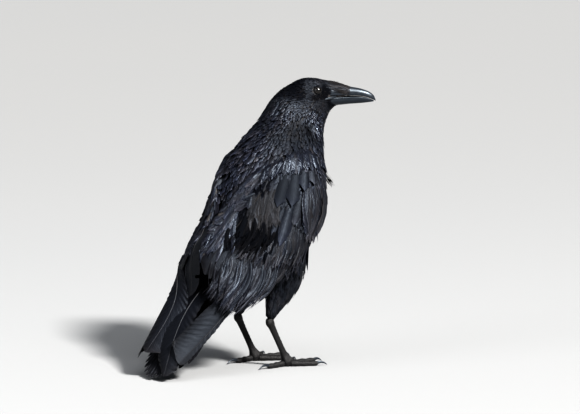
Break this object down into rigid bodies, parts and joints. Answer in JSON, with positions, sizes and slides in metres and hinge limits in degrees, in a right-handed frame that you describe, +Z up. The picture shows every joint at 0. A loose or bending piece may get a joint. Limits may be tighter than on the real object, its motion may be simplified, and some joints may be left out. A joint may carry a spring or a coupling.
{
  "type": "raven",
  "caption": "Life-size black raven standing upright on both feet and its tail tip, wings folded, head turned over its right shoulder, heavy bill closed.",
  "frame": {"origin": "on the floor, under the centre of the bounding box", "axes": "+X the way the body faces, +Y towards its left wing, +Z up; the head is turned 42 degrees to its right"},
  "size_m": [0.3452, 0.1832, 0.3938],
  "materials": {
    "plumage": "black body feathers with a blue-violet sheen",
    "flight_feathers": "glossy black flight feathers",
    "horn": "polished black horn",
    "scaled_skin": "black scaled skin",
    "eye": "wet dark brown eye"
  },
  "bodies": {
    "root": {"trunk": "plumage", "neck": "plumage", "head": "plumage", "nasal_bristles": "plumage", "upper_bill": "horn", "lower_bill": "horn", "eye_left": "eye", "eye_right": "eye", "wing_left": "flight_feathers", "primaries_left": "flight_feathers", "thigh_left": "plumage", "tarsus_left": "scaled_skin", "inner_toe_left": "scaled_skin", "inner_claw_left": "horn", "middle_toe_left": "scaled_skin", "middle_claw_left": "horn", "outer_toe_left": "scaled_skin", "outer_claw_left": "horn", "hind_toe_left": "scaled_skin", "hind_claw_left": "horn", "wing_right": "flight_feathers", "primaries_right": "flight_feathers", "thigh_right": "plumage", "tarsus_right": "scaled_skin", "inner_toe_right": "scaled_skin", "inner_claw_right": "horn", "middle_toe_right": "scaled_skin", "middle_claw_right": "horn", "outer_toe_right": "scaled_skin", "outer_claw_right": "horn", "hind_toe_right": "scaled_skin", "hind_claw_right": "horn", "tail": "flight_feathers"}
  },
  "joints": []
}
